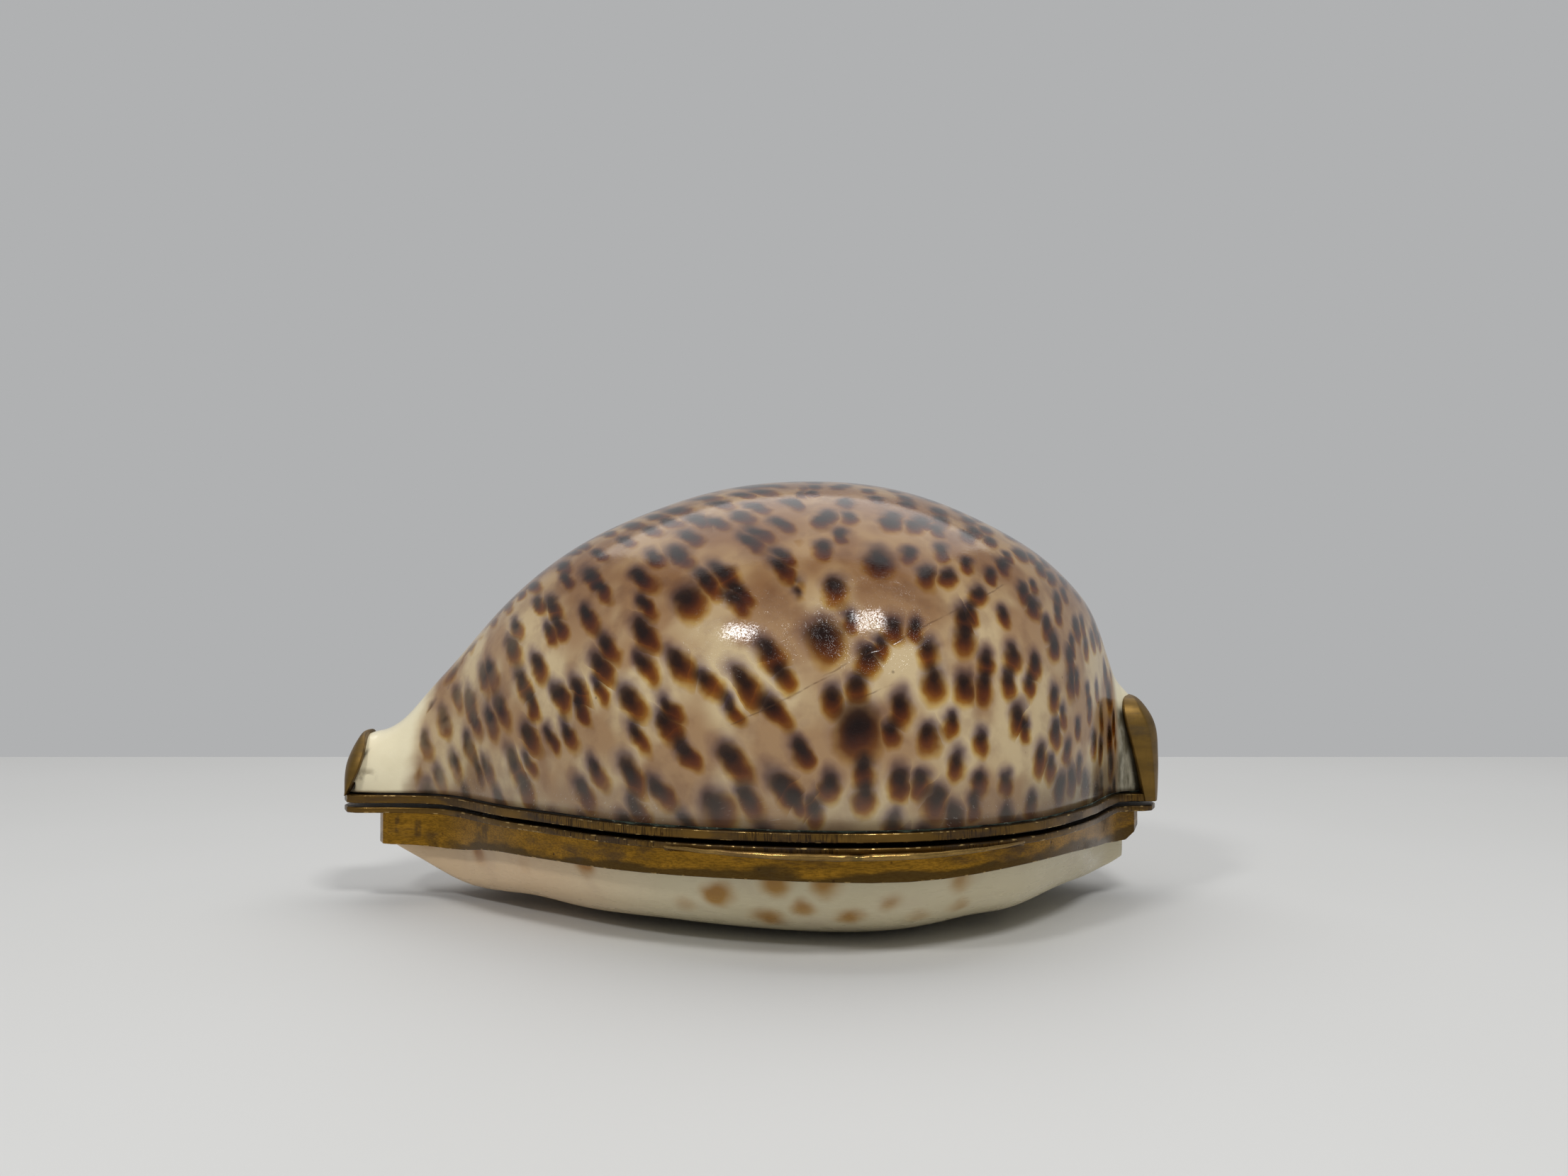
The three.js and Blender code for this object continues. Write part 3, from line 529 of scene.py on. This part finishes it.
def cement():
    t = Finish("cement_with_painted_light")
    x, z = t.axis("X"), t.axis("Z")
    line = t.plus(z, t.noise(1.2, 4), 0.45)
    # Near-black below the teal edge and on the left: old cement, darkened as painted shadow of the gap under
    # the shell's rim
    green = t.product(t.rise(line, 11.26, 11.34), t.rise(x, -18, -8))
    colour = t.mix(green, srgb(26, 22, 17), srgb(94, 112, 100))
    # Painted glints along the teal edge
    painted_glints = t.product(t.rise(t.noise(0.5, 3), 0.6, 0.7), green)
    colour = t.mix(painted_glints, colour, srgb(176, 190, 180))
    return t.finish(colour, 0.85, t.bump(t.noise(0.5, 3), 0.5, 0.1))


# Pieces

def welded(node):
    """A CAD node's surface with doubled points joined."""
    surface = bmesh.new()
    surface.from_mesh(frame["nodes"][node].data)
    bmesh.ops.remove_doubles(surface, verts=surface.verts, dist=WELD)
    return surface


def piece_from(surface, name, node, material):
    """Puts a surface in the scene in place of its CAD node."""
    cad = frame["nodes"][node]
    mesh = bpy.data.meshes.new(name)
    surface.to_mesh(mesh)
    surface.free()
    mesh.materials.append(material)
    piece = bpy.data.objects.new(name, mesh)
    bpy.context.scene.collection.objects.link(piece)
    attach(piece, cad["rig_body"])
    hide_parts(node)
    return piece


def lowest(node, axis):
    """Function that gives the lowest value along an axis, 1 for Y and 2 for Z, of a CAD node at a place
    along X, in mm."""
    least = {}
    for vertex in frame["nodes"][node].data.vertices:
        x = round(vertex.co.x / MM, 2)
        least[x] = min(least.get(x, math.inf), vertex.co[axis] / MM)
    row = sorted(least.items())

    def at(x):
        after = next((i for i, known in enumerate(row) if known[0] >= x), len(row) - 1)
        a, b = row[max(after - 1, 0)], row[after]
        share = 0 if a[0] == b[0] else min(max((x - a[0]) / (b[0] - a[0]), 0), 1)
        return a[1] + (b[1] - a[1]) * share
    return at


def beak_size(x):
    """How much of the shell's last full ring is left at a place along X, in mm."""
    shoulder = LEFT_SHOULDER if x < 0 else RIGHT_SHOULDER
    share = (abs(x) - shoulder) / (SHELL_END - shoulder)
    if share <= 0:
        return 1.0
    if x < 0:
        # Keeps its width for most of the way and then closes in a round end
        return (1 - 0.1 * share) * (1 - (0.93 * share) ** 8) ** 0.125
    return 1 - 0.3 * share ** 0.8


def lay_skin(surface):
    """Gives each point of the shell's back its way along the shell and its way around from both rims, in mm.

    The ends, which the CAD narrows in a step, run on smoothly into their caps."""
    skin = surface.verts.layers.float_vector.new("skin")
    stations = {}
    for vertex in surface.verts:
        stations.setdefault(round(vertex.co.x / MM, 2), []).append(vertex)
    before = None
    along = 0.0
    rings = {}
    for x in sorted(stations):
        left = set(stations[x])
        rim = [v for v in left if v.co.z < (RIM_LEVEL + 0.01) * MM]
        front, back = min(rim, key=lambda v: v.co.y), max(rim, key=lambda v: v.co.y)
        path = []
        step = front
        while step is not None:
            path.append(step)
            left.remove(step)
            beside = [e.other_vert(step) for e in step.link_edges if e.other_vert(step) in left]
            if step is front:
                step = max(beside, key=lambda v: v.co.z)
            else:
                step = min(beside, key=lambda v: (v.co - step.co).length, default=None)
        rings[x] = path
        way = [0.0]
        for a, b in zip(path, path[1:]):
            way.append(way[-1] + (a.co - b.co).length / MM)
        outer = path.index(back) + 1 if back in path else len(path)
        if before:
            pairs = list(zip(before, path[:outer]))
            along += sum((a.co - b.co).length for a, b in pairs) / len(pairs) / MM
        before = path[:outer]
        for vertex, length in zip(path, way):
            vertex[skin] = (along - SKIN_START, length, way[outer - 1] - length)
    for side, shoulder in ((-1, LEFT_SHOULDER), (1, RIGHT_SHOULDER)):
        full = rings[max((x for x in rings if side * x < shoulder + 0.1), key=lambda x: side * x)]
        middle = Vector((0, sum(vertex.co.y for vertex in full) / len(full), RIM_LEVEL * MM))
        for x, path in rings.items():
            if side * x > shoulder + 0.1:
                for vertex, model in zip(path, full):
                    place = middle + (model.co - middle) * beak_size(x)
                    vertex.co = Vector((x * MM, place.y, place.z))
    for vertex in surface.verts:
        if vertex.co.z < (RIM_LEVEL + 0.01) * MM:
            vertex.co.z = RIM_LOW * MM


# Edges of the shell that turn by more than this stay sharp
CREASE_ANGLE = math.radians(40)
# Edges of the brass that turn by more than this are rounded, in this many steps
BEVEL_ANGLE = math.radians(30)
BEVEL_STEPS = 2
# Coplanar faces of the CAD differ by less than this
FLAT_ANGLE = math.radians(1)


def smooth_shell(node, name, material, levels, mark_inside=False):
    """Rounds the facets of a piece of shell and keeps its sharp rims."""
    surface = welded(node)
    if mark_inside:
        lay_skin(surface)
    bmesh.ops.join_triangles(surface, faces=surface.faces, angle_face_threshold=math.pi,
                             angle_shape_threshold=math.pi)
    crease = surface.edges.layers.float.new("crease_edge")
    for edge in surface.edges:
        if edge.is_manifold and edge.calc_face_angle() > CREASE_ANGLE:
            edge[crease] = 1.0
    inner = surface.faces.layers.float.new("inner")
    middle_y = sum(vertex.co.y for vertex in surface.verts) / len(surface.verts)
    for face in surface.faces:
        face.smooth = True
        if mark_inside:
            place = face.calc_center_median()
            face[inner] = float(face.normal.dot(place - Vector((place.x, middle_y, RIM_LEVEL * MM))) < 0)
    piece = piece_from(surface, name, node, material)
    rounding = piece.modifiers.new("rounding", "SUBSURF")
    rounding.levels = rounding.render_levels = levels
    return piece


def rounded_brass(node, name, material, radius):
    """Takes the sharpness off the edges of a brass piece and marks them as edge."""
    surface = welded(node)
    bmesh.ops.dissolve_limit(surface, angle_limit=FLAT_ANGLE, verts=surface.verts, edges=surface.edges)
    edge = surface.faces.layers.float.new("edge")
    sharp = [e for e in surface.edges if e.is_manifold and e.calc_face_angle() > BEVEL_ANGLE]
    made = bmesh.ops.bevel(surface, geom=sharp, offset=radius * MM, offset_type="OFFSET",
                           segments=BEVEL_STEPS, profile=0.5, affect="EDGES", clamp_overlap=True)
    for face in surface.faces:
        face.smooth = True
    for face in made["faces"]:
        face[edge] = 1.0
    piece = piece_from(surface, name, node, material)
    normals = piece.modifiers.new("normals", "WEIGHTED_NORMAL")
    normals.keep_sharp = True
    return piece


# Outlines of the end caps seen from the front, from the foot up: level, inner edge, outer edge and half the
# width across the box, in millimetres
LEFT_CAP = [
    (10.95, -41.3, -41.6, 5), (11.6, -40.9, -41.9, 5.1), (12.4, -40.5, -42.1, 5.15),
    (13.1, -40.1, -42.15, 5.2), (13.9, -39.75, -42.1, 5.1), (14.6, -39.6, -41.9, 4.9),
    (15.4, -39.55, -41.6, 4.5), (16.2, -39.65, -41.2, 3.8), (16.9, -39.9, -40.8, 2.9),
    (17.3, -40.15, -40.5, 1.8),
]
RIGHT_CAP = [
    (10.25, 40.3, 42.1, 5.35), (11, 40.15, 42.2, 5.3), (12.3, 39.9, 42.3, 5.2), (13.8, 39.6, 42.4, 5.1),
    (15.2, 39.25, 42.4, 5.05), (16.7, 38.9, 42.4, 5), (17.8, 38.6, 42.25, 4.9), (18.8, 38.4, 41.9, 4.7),
    (19.6, 38.3, 41.4, 4.4), (20.3, 38.45, 40.9, 3.9), (20.8, 38.8, 40.4, 3.1), (21, 39.3, 39.9, 2),
]
LEFT_CAP_MIDDLE = 1.1
RIGHT_CAP_MIDDLE = 2.6
# Half a section of a cap seen from above: shares of its way from the inner to the outer edge and of half
# its width
LEAF = [(0, 1), (0.35, 0.99), (0.65, 0.86), (0.88, 0.6), (1, 0.3)]
BLOCK = [(0, 1), (0.3, 1.02), (0.6, 1), (0.92, 0.78), (1, 0.5)]
# How far the inner edge of a cap is set back behind the shell, as a share of the cap's width
LEFT_CAP_BACK = 0.6
RIGHT_CAP_BACK = 0.1
# The point of a section that carries the cap's ridge, and how sharp its inner edge is
CAP_RIDGE = 2
CAP_INNER_CREASE = 0.85
CAP_LEVELS = 3


def end_cap(node, name, material, rows, middle, section, back_set, ridge):
    """A cast cap as a row of rings from its foot up, with a crease of a given sharpness along its ridges."""
    surface = bmesh.new()
    crease = surface.edges.layers.float.new("crease_edge")
    rings = []
    for level, inner, outer, half in rows:
        front = [(inner + (outer - inner) * way, middle - half * share, level) for way, share in section]
        back = [(x + (outer - x) * back_set, 2 * middle - y, z) for x, y, z in reversed(front)]
        rings.append([surface.verts.new(Vector(point) * MM) for point in front + back])
    size = len(rings[0])
    for low, high in zip(rings, rings[1:]):
        for i in range(size):
            surface.faces.new((low[i], low[(i + 1) % size], high[(i + 1) % size], high[i]))
        for i, sharpness in ((0, CAP_INNER_CREASE), (CAP_RIDGE, ridge)):
            for point in (i, size - 1 - i):
                surface.edges.get((low[point], high[point]))[crease] = sharpness
    for ring in (rings[0], rings[-1]):
        surface.faces.new(ring)
    for i in range(size):
        surface.edges.get((rings[0][i], rings[0][(i + 1) % size]))[crease] = 1.0
    bmesh.ops.recalc_face_normals(surface, faces=surface.faces)
    for face in surface.faces:
        face.smooth = True
    piece = piece_from(surface, name, node, material)
    rounding = piece.modifiers.new("rounding", "SUBSURF")
    rounding.levels = rounding.render_levels = CAP_LEVELS
    return piece


# The thumb lip, in millimetres: its ends, how far it stands out of the plate and is set into it, its level,
# and the place and half width of its nick
LIP_ENDS = (-7, 24.5)
LIP_REACH = 1.9
LIP_ROOT = 0.4
LIP_LEVEL = 9.3
LIP_NICK = 9.4
LIP_NICK_WIDTH = 0.8
LIP_STEPS = 160
# Its bead, in millimetres: where it is fullest, how far it reaches from there, its radius at the ends and
# what it gains at the fullest
BEAD_MIDDLE = 8.5
BEAD_SPAN = 15.5
BEAD_LEAST = 0.13
BEAD_GAIN = 0.17
BEAD_STEPS = 12
# Angles at which the bead's section begins and how far it turns, in degrees
BEAD_START = 70
BEAD_TURN = 215


def rolled_lip(node, name, material):
    """A thin lip under the front edge of the lid, rolled to a bead along its edge, drooping to the nick."""
    plate_edge = lowest("lid_plate", 1)
    surface = bmesh.new()
    rings = []
    for i in range(LIP_STEPS + 1):
        x = LIP_ENDS[0] + (LIP_ENDS[1] - LIP_ENDS[0]) * i / LIP_STEPS
        along = 2 * i / LIP_STEPS - 1
        nick = math.exp(-((x - LIP_NICK) / LIP_NICK_WIDTH) ** 2)
        dents = noise.noise(Vector((x * 0.7, 3.1, 0)))
        fullness = max(0, 1 - ((x - BEAD_MIDDLE) / BEAD_SPAN) ** 2)
        radius = BEAD_LEAST + BEAD_GAIN * fullness + 0.02 * dents - 0.06 * nick
        reach = LIP_REACH * max(0, 1 - along ** 2) ** 0.7 - 0.35 * nick * fullness
        level = LIP_LEVEL + 0.12 * (1 - fullness) - 0.1 * nick + 0.05 * dents
        face = plate_edge(x)
        tip = face - max(reach, 0.1) + radius
        ring = [(face + LIP_ROOT, level + 0.05), (tip + 0.1, level + radius * 0.55)]
        for k in range(BEAD_STEPS + 1):
            angle = math.radians(BEAD_START + BEAD_TURN * k / BEAD_STEPS)
            ring.append((tip + radius * math.cos(angle), level + radius * math.sin(angle)))
        ring += [(tip + 0.35, level - radius * 0.6), (face + LIP_ROOT, level - 0.4)]
        rings.append([surface.verts.new(Vector((x, y, z)) * MM) for y, z in ring])
    size = len(rings[0])
    for left, right in zip(rings, rings[1:]):
        for j in range(size):
            surface.faces.new((left[j], right[j], right[(j + 1) % size], left[(j + 1) % size]))
    for ring in (rings[0], rings[-1]):
        surface.faces.new(ring)
    bmesh.ops.recalc_face_normals(surface, faces=surface.faces)
    for face in surface.faces:
        face.smooth = True
    return piece_from(surface, name, node, material)


def mark_lower_edge(piece, node):
    """Gives each point of a piece its height above the node's lower edge, in millimetres."""
    lower_edge = lowest(node, 2)
    mesh = piece.data
    low = mesh.attributes.new("low", "FLOAT", "POINT")
    for vertex, value in zip(mesh.vertices, low.data):
        value.value = vertex.co.z / MM - lower_edge(vertex.co.x / MM)


# Stage, light and camera

def floor():
    t = Finish("pale_floor")
    colour = t.mix(t.noise(60, 2), srgb(203, 203, 200), srgb(208, 208, 206))
    material = t.finish(colour, 0.6)
    mesh = bpy.data.meshes.new("floor")
    corners = [(-FLOOR_SIDE, FLOOR_FRONT, 0), (FLOOR_SIDE, FLOOR_FRONT, 0),
               (FLOOR_SIDE, FLOOR_BACK, 0), (-FLOOR_SIDE, FLOOR_BACK, 0)]
    mesh.from_pydata(corners, [], [(0, 1, 2, 3)])
    mesh.materials.append(material)
    made = bpy.data.objects.new("floor", mesh)
    bpy.context.scene.collection.objects.link(made)


def world():
    """Pale backdrop for what looks past the object, and a dimmer even light for the rest."""
    scene_world = bpy.data.worlds.new("backdrop")
    scene_world.use_nodes = True
    nodes, links = scene_world.node_tree.nodes, scene_world.node_tree.links
    nodes.clear()
    seen = nodes.new("ShaderNodeBackground")
    seen.inputs["Color"].default_value = srgb(176, 177, 178)
    light = nodes.new("ShaderNodeBackground")
    light.inputs["Color"].default_value = srgb(250, 250, 255)
    light.inputs["Strength"].default_value = AMBIENT
    path = nodes.new("ShaderNodeLightPath")
    straight = nodes.new("ShaderNodeMath")
    straight.operation = "MAXIMUM"
    links.new(path.outputs["Is Camera Ray"], straight.inputs[0])
    links.new(path.outputs["Is Glossy Ray"], straight.inputs[1])
    clear = nodes.new("ShaderNodeMath")
    clear.operation = "MAXIMUM"
    links.new(straight.outputs[0], clear.inputs[0])
    links.new(path.outputs["Is Transmission Ray"], clear.inputs[1])
    choice = nodes.new("ShaderNodeMixShader")
    links.new(clear.outputs[0], choice.inputs[0])
    links.new(light.outputs[0], choice.inputs[1])
    links.new(seen.outputs[0], choice.inputs[2])
    output = nodes.new("ShaderNodeOutputWorld")
    links.new(choice.outputs[0], output.inputs["Surface"])
    bpy.context.scene.world = scene_world


def lamp(name, target, direction, *, distance, width, depth, power):
    """Soft lamp that stands in a direction from a point and faces it. Millimetres and watts."""
    data = bpy.data.lights.new(name, "AREA")
    data.shape = "RECTANGLE"
    data.size = width * MM
    data.size_y = depth * MM
    data.energy = power
    made = bpy.data.objects.new(name, data)
    aim = Vector(direction).normalized()
    made.location = (Vector(target) + aim * distance) * MM
    made.rotation_mode = "QUATERNION"
    made.rotation_quaternion = aim.to_track_quat("Z", "Y")
    bpy.context.scene.collection.objects.link(made)


def camera():
    data = bpy.data.cameras.new("camera")
    data.lens = LENS
    data.sensor_width = SENSOR
    data.clip_start = 1 * MM
    data.clip_end = 5000 * MM
    made = bpy.data.objects.new("camera", data)
    made.location = CAMERA_PLACE
    made.rotation_euler = (math.radians(90 + CAMERA_TILT), 0, 0)
    bpy.context.scene.collection.objects.link(made)
    bpy.context.scene.camera = made


camera()
world()
floor()
lamp("overhead", (0, 0, 20), (0, 0.42, 1), distance=450, width=600, depth=440, power=1.15)
lamp("left_lamp", LEFT_GLEAM, (-0.46, -0.59, 0.66), distance=400, width=56, depth=44, power=0.41)
lamp("right_lamp", RIGHT_GLEAM, (0.23, -0.58, 0.79), distance=400, width=92, depth=68, power=0.72)

shell = spotted_shell()
underside = pale_shell()
plate_brass = brass("plate_brass", srgb(98, 73, 32), srgb(50, 34, 17), tarnish=0.46, marks=1.0, joint=True)
apron_brass = brass("apron_brass", srgb(138, 100, 28), srgb(70, 47, 11), tarnish=0.4, marks=0.1,
                    brushing=0.5, low_band=True)
cap_brass = brass("cap_brass", srgb(104, 79, 32), srgb(66, 51, 24), tarnish=0.44, marks=0.1, metal=0.75,
                  gloss=0.45)
hinge_brass = brass("hinge_brass", srgb(116, 88, 40), srgb(60, 44, 22), tarnish=0.45, marks=0.2)
lip_brass = brass("lip_brass", srgb(140, 112, 62), srgb(64, 36, 14), tarnish=0.4, marks=0.1, brushing=0.3,
                  spot=LIP_NICK, gloss=0.24)

smooth_shell("dome_shell", "shell_back", shell, levels=2, mark_inside=True)
smooth_shell("front_base_shell", "front_lip_shell", underside, levels=1)
smooth_shell("rear_base_shell", "rear_lip_shell", underside, levels=1)
rounded_brass("cover_plate", "upper_plate", plate_brass, radius=0.13)
rounded_brass("lid_plate", "lower_plate", plate_brass, radius=0.13)
rounded_brass("lid_bezel", "bezel", plate_brass, radius=0.12)
mark_lower_edge(rounded_brass("lid_apron", "apron", apron_brass, radius=0.14), "lid_apron")
rolled_lip("thumb_lip", "lip", lip_brass)
end_cap("left_end_cap", "left_cap", cap_brass, LEFT_CAP, LEFT_CAP_MIDDLE, LEAF, LEFT_CAP_BACK, ridge=0.15)
end_cap("right_end_cap", "right_cap", cap_brass, RIGHT_CAP, RIGHT_CAP_MIDDLE, BLOCK, RIGHT_CAP_BACK,
        ridge=0.75)
rounded_brass("cover_hinge_leaf", "upper_hinge_leaf", hinge_brass, radius=0.08)
rounded_brass("lid_hinge_leaf", "lower_hinge_leaf", hinge_brass, radius=0.08)
rounded_brass("hinge_pin", "pin", hinge_brass, radius=0.08)

cement_with_painted_light = cement()
for node in ("dome_cement", "base_cement"):
    frame["nodes"][node].data.materials.clear()
    frame["nodes"][node].data.materials.append(cement_with_painted_light)

bpy.context.scene.view_settings.view_transform = "Standard"
